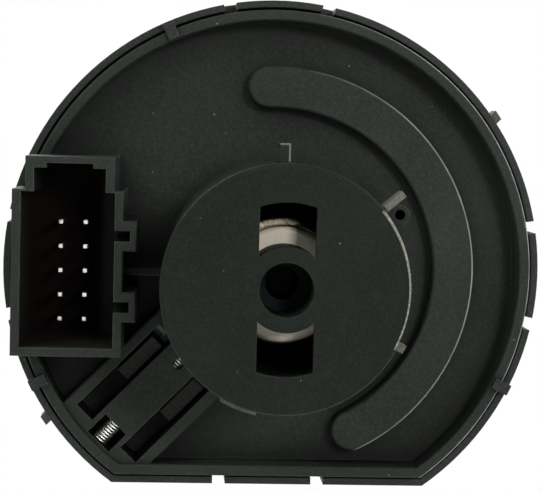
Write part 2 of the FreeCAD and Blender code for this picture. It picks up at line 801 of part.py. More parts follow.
rotor_parts = [disc(rotor_radius, rotor_front, rotor_rear),
               disc(rotor_hub, wall_front + rotor_tail, rotor_rear)]
rotor = fuse(rotor_parts)
keyed = disc(shaft_radius + shaft_gap, wall_front - 1, rotor_rear + 1)
key_half = shaft_flat + shaft_gap
keyed = keyed.common(block(-shaft_radius - 1, shaft_radius + 1, -key_half, key_half, wall_front - 1,
                           rotor_rear + 1))
rotor_cuts = [keyed]
for step in range(detent_notches):
    x, y = polar(rotor_radius, 270 - detent_pitch * (step + detent_first))
    rotor_cuts.append(disc(detent_radius, rotor_front - 1, rotor_rear + 1, x, y))
rotor = cut(rotor, rotor_cuts)
wiper_parts = [tube(wiper_inner, wiper_outer, rotor_rear, rotor_rear + wiper_thickness)]
for angle in wiper_angles:
    wiper_parts.append(sector(wiper_inner, wiper_outer, angle - wiper_half_angle / 3,
                              angle + wiper_half_angle / 3, rotor_rear, board_front - 0.05))
wiper = fuse(wiper_parts)

half = leaf_thickness / 2
nub_top = -rotor_radius + detent_radius - leaf_nub_gap
points = [
    (-leaf_half_length, -leaf_distance - half),
    (leaf_half_length, -leaf_distance - half),
    (leaf_half_length, -leaf_distance + half),
    (2.2, -leaf_distance + half),
    (0.45, nub_top - 0.25),
    (0.2, nub_top),
    (-0.2, nub_top),
    (-0.45, nub_top - 0.25),
    (-2.2, -leaf_distance + half),
    (-leaf_half_length, -leaf_distance + half),
    (-leaf_half_length, -leaf_distance - half),
]
leaf_face = Part.Face(Part.makePolygon([FreeCAD.Vector(px, py, leaf_low) for px, py in points]))
detent_leaf = leaf_face.extrude(FreeCAD.Vector(0, 0, leaf_width))

leds = []
for angle in symbol_angles:
    led = block(-led_width / 2, led_width / 2, -led_length / 2, led_length / 2, board_front - led_height,
                board_front)
    led.translate(FreeCAD.Vector(symbol_circle, 0, 0))
    leds.append(turned(led, angle))

# Knob
knob_shell = disc(knob_radius, knob_front, knob_rear)
knob_shell = knob_shell.makeFillet(knob_edge_radius, edges_at(knob_shell, knob_front, 0))
grip = block(-grip_half_width, grip_half_width, -grip_half_length, grip_half_length,
             knob_front - grip_height, knob_front + 0.5)
grip = grip.makeFillet(grip_edge_radius, [e for e in grip.Edges if e.BoundBox.ZMin < knob_front])
knob = fuse([knob_shell, grip])
socket_radius = shaft_radius + knob_socket_wall
knob_cuts = [tube(socket_radius, knob_radius - knob_wall, shaft_front, knob_rear + 1)]
knob_cuts.append(disc(socket_radius + 1, shaft_front + knob_socket_depth, knob_rear + 1))
hole = disc(shaft_radius + shaft_gap, shaft_front, knob_rear + 1)
hole = hole.common(block(-shaft_radius - 1, shaft_radius + 1, -key_half, key_half, shaft_front,
                         knob_rear + 1))
knob_cuts.append(hole)
pointer_top = knob_front - grip_height
pointer_start = grip_half_length - grip_edge_radius - pointer_length
pointer = block(-pointer_width / 2, pointer_width / 2, pointer_start, pointer_start + pointer_length,
                pointer_top, pointer_top + pointer_depth)
knob_cuts.append(pointer)
band_low = knob_rear - knob_band_width
band = tube(knob_radius - knob_band_depth / 2, knob_radius, band_low, knob_rear)
knob_cuts.append(band)
knob = cut(knob, knob_cuts)

nodes = {
    "bezel": bezel,
    "face_plate": face_plate,
    "symbol_lens": symbol_lens,
    "trim_ring": trim_ring,
    "base_housing": base,
    "rear_cap": cap,
    "release_ring": release_ring,
    "release_cam": release_cam,
    "lower_latch": lower_latch,
    "upper_latch": upper_latch,
    "lower_latch_spring": lower_spring,
    "upper_latch_spring": upper_spring,
    "knob_shaft": shaft,
    "spring_seat": spring_seat,
    "return_spring": return_spring,
    "circuit_board": board,
    "contact_rotor": rotor,
    "wiper_contacts": wiper,
    "detent_leaf": detent_leaf,
    "lamps": Part.makeCompound(leds),
    "knob": knob,
    "knob_pointer": pointer,
    "knob_band": band,
}
for column in range(pin_columns):
    nodes["contact_pins_%d" % (column + 1)] = Part.makeCompound(pin_solids[column])

for name, shape in nodes.items():
    upright = shape.copy()
    upright.rotate(ORIGIN, FreeCAD.Vector(1, 0, 0), 90)
    upright.exportStep("parts/" + name + ".step")
    box = upright.BoundBox
    print("%-20s solids %d valid %s volume %.1f  x %.2f %.2f  y %.2f %.2f  z %.2f %.2f" % (
        name, len(upright.Solids), upright.isValid(), upright.Volume,
        box.XMin, box.XMax, box.YMin, box.YMax, box.ZMin, box.ZMax))
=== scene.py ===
import json
import math

import bmesh
import bpy
from mathutils import Matrix, Vector


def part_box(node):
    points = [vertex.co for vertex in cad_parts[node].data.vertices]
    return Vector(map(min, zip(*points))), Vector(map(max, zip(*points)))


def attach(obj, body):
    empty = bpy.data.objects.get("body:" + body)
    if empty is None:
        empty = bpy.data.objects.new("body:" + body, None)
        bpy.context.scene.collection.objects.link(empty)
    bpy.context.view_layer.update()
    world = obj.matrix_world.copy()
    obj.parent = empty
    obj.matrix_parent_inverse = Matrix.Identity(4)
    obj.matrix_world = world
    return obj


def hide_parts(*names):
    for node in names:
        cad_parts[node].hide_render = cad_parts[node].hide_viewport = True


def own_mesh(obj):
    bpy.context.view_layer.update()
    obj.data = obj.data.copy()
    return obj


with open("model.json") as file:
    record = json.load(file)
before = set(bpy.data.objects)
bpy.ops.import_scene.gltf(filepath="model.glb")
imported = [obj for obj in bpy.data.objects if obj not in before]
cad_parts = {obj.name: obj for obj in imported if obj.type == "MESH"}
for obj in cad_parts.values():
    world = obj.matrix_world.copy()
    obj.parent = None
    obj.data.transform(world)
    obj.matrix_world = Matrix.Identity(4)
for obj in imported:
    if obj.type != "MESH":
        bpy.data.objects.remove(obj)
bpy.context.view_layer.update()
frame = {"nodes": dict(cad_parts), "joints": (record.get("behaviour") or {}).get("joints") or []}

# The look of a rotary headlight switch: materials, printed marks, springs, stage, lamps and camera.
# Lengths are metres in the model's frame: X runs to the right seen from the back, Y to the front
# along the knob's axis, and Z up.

NODES = frame["nodes"]
JOINTS = {joint["name"]: joint for joint in frame["joints"]}
SCENE = bpy.context.scene
MM = 0.001


# Places on the pieces where a material changes, each as the two values between which it turns.
SOCKET_RIGHT = (-0.0232, -0.0228)
SOCKET_TOP = (0.0162, 0.0166)
SOCKET_BOTTOM = (-0.0118, -0.0114)
CAVITY_LEFT = (-0.0386, -0.0383)
CAVITY_RIGHT = (-0.0276, -0.0246)
CAVITY_MOUTH = (-0.0122, -0.0108)
# The side on which the painted highlight lines lie.
HIGHLIGHT_SIDE = (0.004, 0.026)
RIM_BACK = (0.0016, 0.0020)
TAB_BACK = (-0.0204, -0.0202)
TAB_RIGHT_EDGE = (0.00046, 0.00054)
TAB_UPPER_EDGE = (0.01984, 0.01992)
KNOB_RIM_REACH = (0.0213, 0.0215)
LATCH_LUG_REACH = (0.0405, 0.0425)
RELEASE_RING_REACH = (0.01752, 0.01762)

# Bands on the housing, each from its start to its end, and how softly they fade out there.
PAD_EDGE_REACH = (0.03166, 0.03180)
PAD_BACK = (0.0009, 0.0014)
RIM_EDGE_REACH = (0.04036, 0.04050)
TAB_WIDTH = (-0.0008, 0.0008)
TAB_HEIGHT = (0.0176, 0.0202)
EDGE_LINE_SOFTNESS = 0.00006
BAND_SOFTNESS = 0.0001

# The pale cut tip of each pin, measured from its end, and how softly the shaft begins.
PIN_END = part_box("contact_pins_1")[0].y
PIN_TIP_LENGTH = 0.00015
PIN_TIP_SOFTNESS = 0.00025

# How wide the rounded look of an edge is, and how far the painted shade reaches out of a corner.
PLASTIC_EDGE = 0.00022
METAL_EDGE = 0.00008
EDGE_SAMPLES = 6
SHADE_REACH = 0.006
SHADE_SAMPLES = 6
# How far a rounded edge's normal leans from its face's, as cosines, on a face and on an edge.
LEAN_ON_FACE, LEAN_ON_EDGE = 0.98, 0.75

# Dust grains: how softly their share of the cells begins, and how much wider they are at the foot.
GRAIN_SHARE_FADE = 0.95
GRAIN_FOOT = 1.6

# The coarse grain's scale and depth beside the fine grain's, and how far roughness strays.
COARSE_SCALE = 0.42
COARSE_DEPTH = 1.6
ROUGHNESS_SPREAD = 0.10
METAL_SMOOTHER, METAL_ROUGHER = 0.04, 0.08

KNOB_RIBS = 84
RIB_DEPTH = 0.00018
METAL_STREAK_DEPTH = 0.0000015

# What a colour is multiplied by where a plastic glints and on its paler edges, which are partly wear
# and partly painted edge highlight, and where a metal is tarnished. A plastic's flow marks also gain a
# little.
GLINT_GAIN = 2.6
EDGE_WEAR_AND_HIGHLIGHT_GAIN = 2.2
TARNISH_GAIN = 0.45
FLOW_LIFT = 0.004

# How strong the painted highlight lines and the dull stretches are, and how metallic a pin's cut tip
# looks.
RIM_HIGHLIGHT = 0.8
TAB_HIGHLIGHT = 0.6
RING_DULLNESS = 0.8
PIN_TIP_METALLIC = 0.15

DUST_COLOUR = (0.40, 0.40, 0.37)
# The pale colour of the painted highlight lines.
PAINTED_HIGHLIGHT_COLOUR = (0.27, 0.275, 0.26)
# The brownish, nearly black painted shade inside the plug socket.
SOCKET_SHADE_COLOUR = (0.0050, 0.0027, 0.0021)
# The painted highlight on the latch lugs.
LATCH_LUG_HIGHLIGHT_COLOUR = (0.074, 0.066, 0.053)
RING_DULL_COLOUR = (0.050, 0.045, 0.036)
PIN_SHAFT_TINT = (0.10, 0.09, 0.08)
PIN_TIP_COLOUR = (0.92, 0.91, 0.87)
WHITE = (1.0, 1.0, 1.0, 1.0)


# Small steps for building node trees

def nodes_of(material):
    # The material's node tree and the shader in it.
    tree = material.node_tree
    return tree, tree.nodes["Principled BSDF"]


def new_material(name):
    material = bpy.data.materials.new(name)
    material.use_nodes = True
    return material, *nodes_of(material)


def linked_to(shader, name):
    # What feeds one of the shader's sockets so far.
    return shader.inputs[name].links[0].from_socket


def math_node(tree, operation, a, b=None):
    made = tree.nodes.new("ShaderNodeMath")
    made.operation = operation
    for i, value in enumerate((a, b)):
        if value is None:
            continue
        if isinstance(value, (int, float)):
            made.inputs[i].default_value = value
        else:
            tree.links.new(value, made.inputs[i])
    return made.outputs[0]


def product(tree, first, *others):
    for value in others:
        first = math_node(tree, "MULTIPLY", first, value)
    return first


def largest(tree, first, *others):
    for value in others:
        first = math_node(tree, "MAXIMUM", first, value)
    return first


def mix_colour(tree, factor, a, b, blend="MIX"):
    made = tree.nodes.new("ShaderNodeMix")
    made.data_type = "RGBA"
    made.blend_type = blend
    made.clamp_factor = True
    for socket, value in ((made.inputs[0], factor), (made.inputs[6], a), (made.inputs[7], b)):
        if isinstance(value, (int, float)):
            socket.default_value = value
        elif isinstance(value, tuple):
            socket.default_value = (*value, 1)
        else:
            tree.links.new(value, socket)
    return made.outputs[2]


def ramp(tree, value, low, high, at_low=0.0, at_high=1.0):
    # Turns low to high into at_low to at_high, and stays there beyond.
    made = tree.nodes.new("ShaderNodeMapRange")
    made.clamp = True
    tree.links.new(value, made.inputs[0])
    for i, number in enumerate((low, high, at_low, at_high)):
        made.inputs[i + 1].default_value = number
    return made.outputs[0]


def between(tree, value, band, softness):
    # 1 inside a band, fading out beyond its two ends.
    low, high = band
    above = ramp(tree, value, low - softness, low)
    below = ramp(tree, value, high, high + softness, 1.0, 0.0)
    return product(tree, above, below)


def coordinates(tree):
    return tree.nodes.new("ShaderNodeTexCoord").outputs["Object"]


def axes_of(tree, where):
    parts = tree.nodes.new("ShaderNodeSeparateXYZ")
    tree.links.new(where, parts.inputs[0])
    return parts.outputs[0], parts.outputs[1], parts.outputs[2]


def reach_of(tree):
    # The distance from the switch's axis.
    x, _, z = axes_of(tree, coordinates(tree))
    return math_node(tree, "SQRT", math_node(tree, "ADD", product(tree, x, x), product(tree, z, z)))


def noise(tree, where, scale, detail=2.0, rough=0.5):
    made = tree.nodes.new("ShaderNodeTexNoise")
    tree.links.new(where, made.inputs["Vector"])
    made.inputs["Scale"].default_value = scale
    made.inputs["Detail"].default_value = detail
    made.inputs["Roughness"].default_value = rough
    return made.outputs["Fac"]


def bump(tree, height, strength, distance, after):
    made = tree.nodes.new("ShaderNodeBump")
    made.inputs["Strength"].default_value = strength
    made.inputs["Distance"].default_value = distance
    tree.links.new(height, made.inputs["Height"])
    tree.links.new(after, made.inputs["Normal"])
    return made.outputs["Normal"]


def rounded_normal(tree, radius):
    bevel = tree.nodes.new("ShaderNodeBevel")
    bevel.samples = EDGE_SAMPLES
    bevel.inputs["Radius"].default_value = radius
    return bevel.outputs[0]


def edge_mask(tree, rounded):
    # Near 1 along outer and inner edges, 0 on open faces.
    geometry = tree.nodes.new("ShaderNodeNewGeometry")
    dot = tree.nodes.new("ShaderNodeVectorMath")
    dot.operation = "DOT_PRODUCT"
    tree.links.new(rounded, dot.inputs[0])
    tree.links.new(geometry.outputs["Normal"], dot.inputs[1])
    return ramp(tree, dot.outputs["Value"], LEAN_ON_FACE, LEAN_ON_EDGE)


def grey_of(tree, value):
    joined = tree.nodes.new("ShaderNodeCombineColor")
    for socket in joined.inputs[:3]:
        tree.links.new(value, socket)
    return joined.outputs[0]


def shade(colour, factor, lift=0.0):
    return tuple(min(1.0, c * factor + lift) for c in colour)


# Dust, painted shade and painted highlights that the plastics share

def specks(tree, where, scale, size, share, channel):
    # Round dust grains in a random share of the cells.
    cells = tree.nodes.new("ShaderNodeTexVoronoi")
    tree.links.new(where, cells.inputs["Vector"])
    cells.inputs["Scale"].default_value = scale
    chosen = tree.nodes.new("ShaderNodeSeparateColor")
    tree.links.new(cells.outputs["Color"], chosen.inputs[0])
    rare = ramp(tree, chosen.outputs[channel], 1 - share, 1 - share * GRAIN_SHARE_FADE)
    near = ramp(tree, cells.outputs["Distance"], size * GRAIN_FOOT, size)
    return product(tree, rare, near)


def outside_socket(tree, where):
    # 0 inside the plug socket, where no dust lies, and 1 elsewhere.
    x, _, z = axes_of(tree, where)
    beside = ramp(tree, x, *SOCKET_RIGHT)
    above = ramp(tree, z, *SOCKET_TOP)
    below = ramp(tree, z, *SOCKET_BOTTOM, 1.0, 0.0)
    return largest(tree, beside, above, below)


def socket_painted_shade(tree, where):
    # Painted shade on the walls and the floor inside the socket: 1 there, fading out before its right
    # wall, which is left lit.
    x, y, _ = axes_of(tree, where)
    within = math_node(tree, "SUBTRACT", 1.0, outside_socket(tree, where))
    return product(tree, within, ramp(tree, x, *CAVITY_LEFT), ramp(tree, x, *CAVITY_RIGHT, 1.0, 0.0),
                   ramp(tree, y, *CAVITY_MOUTH))


def dust_on(tree, where, broad, amount):
    # Large and small grains, thicker in some places than in others.
    large = specks(tree, where, scale=520, size=0.05, share=0.075 * amount, channel=0)
    small = specks(tree, where, scale=1300, size=0.09, share=0.02 * amount, channel=1)
    thickness = ramp(tree, broad, 0.35, 0.6, at_low=0.15, at_high=0.55)
    return product(tree, largest(tree, large, small), outside_socket(tree, where), thickness)


def painted_corner_shade(tree, painted_shade):
    # Painted shade where light is closed off: 1 on open faces, down to 1 less the given amount in
    # closed corners.
    closed = tree.nodes.new("ShaderNodeAmbientOcclusion")
    closed.samples = SHADE_SAMPLES
    closed.inputs["Distance"].default_value = SHADE_REACH
    return ramp(tree, closed.outputs["AO"], 0.35, 0.9, at_low=1 - painted_shade)


def painted_highlight_lines(tree, where):
    # Painted highlight lines along the outer edges of the arc pad and the rim, on the side away from
    # the socket, and along the upper and the right edge of the tab above the drum, where light catches
    # them.
    x, y, z = axes_of(tree, where)
    reach = reach_of(tree)
    pad = product(tree, between(tree, reach, PAD_EDGE_REACH, EDGE_LINE_SOFTNESS),
                  between(tree, y, PAD_BACK, BAND_SOFTNESS))
    rim = product(tree, between(tree, reach, RIM_EDGE_REACH, EDGE_LINE_SOFTNESS),
                  ramp(tree, y, *RIM_BACK, RIM_HIGHLIGHT, 0.0))
    arcs = product(tree, largest(tree, pad, rim), ramp(tree, x, *HIGHLIGHT_SIDE))
    tab = product(tree, between(tree, x, TAB_WIDTH, BAND_SOFTNESS),
                  between(tree, z, TAB_HEIGHT, BAND_SOFTNESS), ramp(tree, y, *TAB_BACK, TAB_HIGHLIGHT, 0.0))
    tab_edges = largest(tree, ramp(tree, x, *TAB_RIGHT_EDGE), ramp(tree, z, *TAB_UPPER_EDGE))
    lines = largest(tree, arcs, product(tree, tab, tab_edges))
    patchy = ramp(tree, noise(tree, where, scale=260, detail=3), 0.30, 0.60, at_low=0.55)
    return product(tree, lines, patchy)


# Materials

def plastic(name, base, roughness=0.55, grain=0.00016, depth=0.00001, dust=0.0, edge_wear_and_highlight=0.35,
            mottle=0.25, specular=0.45, coat=0.0, speckle=0.7, painted_shade=0.0, wear_and_highlight_lift=0.05):
    """Moulded plastic: spark-eroded grain, faint flow mottling, paler edges that are partly wear and
    partly painted edge highlight, dust, and painted shade in corners.

    grain is how wide the grain is and depth how high it stands. dust, mottle, speckle, the paler edges'
    amount and the painted shade's amount are from 0 to 1, and the edges' lift is what a paler edge
    gains in brightness.
    """
    material, tree, shader = new_material(name)
    where = coordinates(tree)
    broad = noise(tree, where, scale=60, detail=3)
    flow = noise(tree, where, scale=350, detail=4, rough=0.6)
    fine = noise(tree, where, scale=1 / grain, detail=2, rough=0.6)
    coarse = noise(tree, where, scale=COARSE_SCALE / grain, detail=3, rough=0.65)
    rounded = rounded_normal(tree, PLASTIC_EDGE)

    light = shade(base, 1 + mottle)
    colour = mix_colour(tree, ramp(tree, broad, 0.3, 0.7), shade(base, 1 - mottle), light)
    flow_mark = ramp(tree, flow, 0.55, 0.8, at_high=0.5)
    colour = mix_colour(tree, flow_mark, colour, shade(base, 1 + mottle, lift=FLOW_LIFT))
    glint = ramp(tree, coarse, 0.42, 0.66, at_high=speckle)
    colour = mix_colour(tree, glint, colour, shade(base, GLINT_GAIN))
    # Paler edges, partly wear and partly painted edge highlight.
    worn_and_highlit_edges = product(tree, edge_mask(tree, rounded), ramp(tree, flow, 0.35, 0.7, at_low=0.25), edge_wear_and_highlight)
    colour = mix_colour(tree, worn_and_highlit_edges, colour, shade(base, EDGE_WEAR_AND_HIGHLIGHT_GAIN, lift=wear_and_highlight_lift))
    # Painted shade: the colour darkens in corners and between parts, where shade falls.
    if painted_shade > 0:
        colour = mix_colour(tree, 1.0, colour, grey_of(tree, painted_corner_shade(tree, painted_shade)), "MULTIPLY")
    if dust > 0:
        colour = mix_colour(tree, dust_on(tree, where, broad, dust), colour, DUST_COLOUR)
    tree.links.new(colour, shader.inputs["Base Color"])

    rough = ramp(tree, fine, 0.3, 0.7, roughness - ROUGHNESS_SPREAD, roughness + ROUGHNESS_SPREAD)
    tree.links.new(rough, shader.inputs["Roughness"])
    shader.inputs["Specular IOR Level"].default_value = specular
    shader.inputs["Coat Weight"].default_value = coat
    grained = bump(tree, fine, strength=0.55, distance=depth, after=rounded)
    normal = bump(tree, coarse, strength=0.5, distance=depth * COARSE_DEPTH, after=grained)
    tree.links.new(normal, shader.inputs["Normal"])
    return material


def metal(name, base, roughness=0.28, streak=(1, 1, 1), tarnish=0.3, patches=900, metallic=1.0):
    """Drawn or plated metal with fine streaks and a little tarnish in patches."""
    material, tree, shader = new_material(name)
    where = coordinates(tree)
    stretch = tree.nodes.new("ShaderNodeMapping")
    tree.links.new(where, stretch.inputs[0])
    stretch.inputs["Scale"].default_value = streak
    lines = noise(tree, stretch.outputs[0], scale=3000, detail=2)
    patch = noise(tree, where, scale=patches, detail=3, rough=0.6)
    tarnished = ramp(tree, patch, 0.45, 0.75, at_high=tarnish)
    colour = mix_colour(tree, tarnished, base, shade(base, TARNISH_GAIN))
    tree.links.new(colour, shader.inputs["Base Color"])
    shader.inputs["Metallic"].default_value = metallic
    rough = ramp(tree, lines, 0.3, 0.7, roughness - METAL_SMOOTHER, roughness + METAL_ROUGHER)
    tree.links.new(rough, shader.inputs["Roughness"])
    rounded = rounded_normal(tree, METAL_EDGE)
    normal = bump(tree, lines, strength=0.25, distance=METAL_STREAK_DEPTH, after=rounded)
    tree.links.new(normal, shader.inputs["Normal"])
    return material


def repaint(material, factor, colour):
    # Lays a colour over what the material has so far, as much as factor says.
    tree, shader = nodes_of(material)
    before = linked_to(shader, "Base Color")
    tree.links.new(mix_colour(tree, factor, before, colour), shader.inputs["Base Color"])


def housing_plastic(name):
    """The housing's plastic: matt, with painted shade in corners, brownish and nearly black painted
    shade inside the plug socket, and painted highlight lines.
    """
    material = plastic(name, (0.0125, 0.0150, 0.0120), 0.56, dust=1.0, edge_wear_and_highlight=0.90, depth=0.000014,
                       specular=0.12, speckle=0.5, painted_shade=0.80, wear_and_highlight_lift=0.12)
    tree, shader = nodes_of(material)
    where = coordinates(tree)
    inside = socket_painted_shade(tree, where)
    # Painted shade inside the plug socket.
    repaint(material, inside, SOCKET_SHADE_COLOUR)
    # Painted highlight lines along the edges of the pad, the rim and the tab.
    repaint(material, painted_highlight_lines(tree, where), PAINTED_HIGHLIGHT_COLOUR)
    rough = largest(tree, linked_to(shader, "Roughness"), inside)
    tree.links.new(rough, shader.inputs["Roughness"])
    return material


def knob_plastic(name):
    """Soft black plastic with fine ribs along the axis round the knob's rim."""
    material = plastic(name, (0.014, 0.014, 0.015), 0.58, edge_wear_and_highlight=0.25, depth=0.000012, specular=0.22)
    tree, shader = nodes_of(material)
    x, _, z = axes_of(tree, coordinates(tree))
    turn = math_node(tree, "ARCTAN2", z, x)
    wave = math_node(tree, "SINE", product(tree, turn, float(KNOB_RIBS)))
    ribs = product(tree, wave, ramp(tree, reach_of(tree), *KNOB_RIM_REACH))
    before = linked_to(shader, "Normal")
    normal = bump(tree, ribs, strength=0.8, distance=RIB_DEPTH, after=before)
    tree.links.new(normal, shader.inputs["Normal"])
    return material


def latch_plastic(name):
    """The housing's plastic inside, with a browner, paler painted highlight on the lugs farthest from
    the axis.
    """
    material = plastic(name, (0.0150, 0.0165, 0.0140), 0.55, edge_wear_and_highlight=0.5, dust=0.2, specular=0.10,
                       wear_and_highlight_lift=0.08)
    tree = material.node_tree
    # Painted highlight on the lugs.
    repaint(material, ramp(tree, reach_of(tree), *LATCH_LUG_REACH), LATCH_LUG_HIGHLIGHT_COLOUR)
    return material


def ring_plastic(name):
    """The release ring's grey plastic: pale along the drum, duller on what stands out from it."""
    material = plastic(name, (0.190, 0.183, 0.152), 0.46, edge_wear_and_highlight=0.25, dust=0.2, specular=0.2)
    tree = material.node_tree
    dull = ramp(tree, reach_of(tree), *RELEASE_RING_REACH, at_high=RING_DULLNESS)
    repaint(material, dull, RING_DULL_COLOUR)
    return material


def tinned_pin(name):
    """Tinned terminals: the cut tips are matt and pale, the shafts dull."""
    material = metal(name, (0.78, 0.77, 0.74), 0.32, streak=(1, 0.15, 1))
    tree, shader = nodes_of(material)
    _, y, _ = axes_of(tree, coordinates(tree))
    shaft_start = PIN_END + PIN_TIP_LENGTH
    tip = ramp(tree, y, shaft_start + PIN_TIP_SOFTNESS, shaft_start)
    dull = mix_colour(tree, 1.0, linked_to(shader, "Base Color"), PIN_SHAFT_TINT, "MULTIPLY")
    tree.links.new(mix_colour(tree, tip, dull, PIN_TIP_COLOUR), shader.inputs["Base Color"])
    tree.links.new(ramp(tree, tip, 0.0, 1.0, 1.0, PIN_TIP_METALLIC), shader.inputs["Metallic"])
    return material


housing_black = housing_plastic("housing_black")
cap_black = plastic("cap_black", (0.0052, 0.0069, 0.0048), 0.6, dust=0.12, edge_wear_and_highlight=0.6,
                    depth=0.000012, specular=0.10, speckle=0.5)
bezel_black = plastic("bezel_black", (0.0135, 0.0150, 0.0135), 0.52, dust=0.5, edge_wear_and_highlight=0.6,
                      specular=0.12)
ring_grey = ring_plastic("ring_grey")
latch_grey = latch_plastic("latch_grey")
shaft_black = plastic("shaft_black", (0.0030, 0.0042, 0.0055), 0.5, edge_wear_and_highlight=0.1, specular=0.08)
cream = plastic("cream", (0.88, 0.80, 0.64), 0.24, grain=0.0005, depth=0.00005, edge_wear_and_highlight=0.0,
                mottle=0.08, specular=0.4, coat=0.3, speckle=0.0)
rotor_black = plastic("rotor_black", (0.03, 0.03, 0.03), 0.4)
piano_black = plastic("piano_black", (0.006, 0.006, 0.007), 0.09, grain=0.002, depth=0.0000006,
                      edge_wear_and_highlight=0.1, specular=0.5, coat=0.6, speckle=0.0)
knob_black = knob_plastic("knob_soft_black")
white_print = plastic("white_print", (0.62, 0.62, 0.60), 0.4, edge_wear_and_highlight=0.05, mottle=0.05, speckle=0.0)
lens_milk = plastic("lens_milk", (0.6, 0.6, 0.57), 0.3, edge_wear_and_highlight=0.05, mottle=0.05, coat=0.4,
                    speckle=0.0)
board_green = plastic("board_green", (0.015, 0.09, 0.03), 0.3, edge_wear_and_highlight=0.1, mottle=0.2, coat=0.5,
                      speckle=0.0)
spring_steel = metal("spring_steel", (0.80, 0.79, 0.75), 0.34)
return_wire = metal("return_wire", (0.20, 0.19, 0.17), 0.5, tarnish=0.6, metallic=0.55)
spring_end_wire = metal("spring_end_wire", (0.92, 0.82, 0.64), 0.5, tarnish=1.0, patches=2400,
                        metallic=0.25)
pin_tin = tinned_pin("pin_tin")
satin_chrome = metal("satin_chrome", (0.66, 0.66, 0.67), 0.24, tarnish=0.08)
brass = metal("brass", (0.72, 0.5, 0.2), 0.3)

MATERIAL_OF = {
    "bezel": bezel_black, "face_plate": piano_black, "symbol_lens": lens_milk,
    "trim_ring": satin_chrome, "base_housing": housing_black, "rear_cap": cap_black,
    "release_ring": ring_grey, "release_cam": ring_grey,
    "lower_latch": latch_grey, "upper_latch": latch_grey,
    "lower_latch_spring": spring_steel, "upper_latch_spring": spring_steel,
    "return_spring": return_wire, "detent_leaf": spring_steel,
    "knob_shaft": shaft_black, "spring_seat": cream, "circuit_board": board_green,
    "contact_rotor": rotor_black, "wiper_contacts": brass, "lamps": lens_milk,
    "knob": knob_black, "knob_pointer": white_print, "knob_band": satin_chrome,
    "contact_pins_1": pin_tin, "contact_pins_2": pin_tin,
}
for node, thing in NODES.items():
    thing.data.materials.clear()
    thing.data.materials.append(MATERIAL_OF[node])


# Small rounded edges on the moulded and cut parts

EDGE_WIDTH = {
    "base_housing": 0.00012, "rear_cap": 0.00015, "bezel": 0.00012, "release_ring": 0.00010,
    "lower_latch": 0.00010, "upper_latch": 0.00010, "contact_pins_1": 0.00010,
    "contact_pins_2": 0.00010, "face_plate": 0.00010, "knob_pointer": 0.00008,
}
EDGE_SEGMENTS = 2
WELD_DISTANCE = 0.000002
SHARP_ANGLE = math.radians(40)


def round_edges(node, width):
    # The faces beside the rounded edges keep their flat shading.
    weld = NODES[node].modifiers.new("weld", "WELD")
    weld.merge_threshold = WELD_DISTANCE
    bevel = NODES[node].modifiers.new("bevel", "BEVEL")
    bevel.width = width
    bevel.segments = EDGE_SEGMENTS
    bevel.limit_method = "ANGLE"
    bevel.angle_limit = SHARP_ANGLE
    bevel.use_clamp_overlap = True
    bevel.harden_normals = True


for node, width in EDGE_WIDTH.items():
    round_edges(node, width)


def add_piece(name, mesh, material, centre=(0, 0, 0)):
    # Makes a piece of the switch's fixed body from a mesh that is being edited.
    data = bpy.data.meshes.new(name)
    mesh.to_mesh(data)
    mesh.free()
    data.materials.append(material)
    thing = bpy.data.objects.new(name, data)
    thing.location = centre
    SCENE.collection.objects.link(thing)
    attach(thing, "switch")


# Printed marks on the front, drawn in millimetres on the face plate

FACE_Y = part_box("face_plate")[1].y
PRINT_GAP = 0.00002
PRINT_THICKNESS = 0.00003

# Angles are in degrees from the right, anticlockwise seen from the front.
MARK_CIRCLE = 35.3
OFF_ANGLE, SIDE_ANGLE, DIPPED_ANGLE, AUTO_ANGLE, FOG_ANGLE = 112.5, 90.0, 67.5, 45.0, 135.0
OFF_STROKE, BOWL_STROKE, RAY_STROKE, BEAM_STROKE, TICK_STROKE = 0.36, 0.32, 0.26, 0.24, 0.34
OFF_HALF_WIDTH, OFF_HALF_HEIGHT, OFF_POINTS = 0.95, 1.35, 24
SMALL_BOWL, SMALL_BOWL_OFFSET = 0.95, 1.25
RAY_START, RAY_REACH, RAY_LENGTH, RAY_ANGLES = 1.6, 1.2, 0.8, (-32, 0, 32)
LARGE_BOWL, LARGE_BOWL_OFFSET = 1.35, 0.35
BOWL_STEPS = 12
BEAM_START = 0.05
DIPPED_BEAMS, DIPPED_TOP, DIPPED_STEP, DIPPED_END, DIPPED_FALL = 5, 1.15, 0.575, 1.9, 0.55
FOG_BEAMS, FOG_TOP, FOG_STEP, FOG_END = 3, 0.8, 0.8, 2.0
WAVE_OFFSET, WAVE_SWING, WAVE_TOP, WAVE_STEP, WAVE_POINTS = 1.0, 0.22, 1.35, 0.3375, 9
SUN_RADIUS, SUN_POINTS, SUN_RAYS, SUN_RAY_START, SUN_RAY_END = 0.62, 20, 8, 1.0, 1.55
KNOB_PLACES, TICK_START, TICK_END = 4, 25.0, 26.6


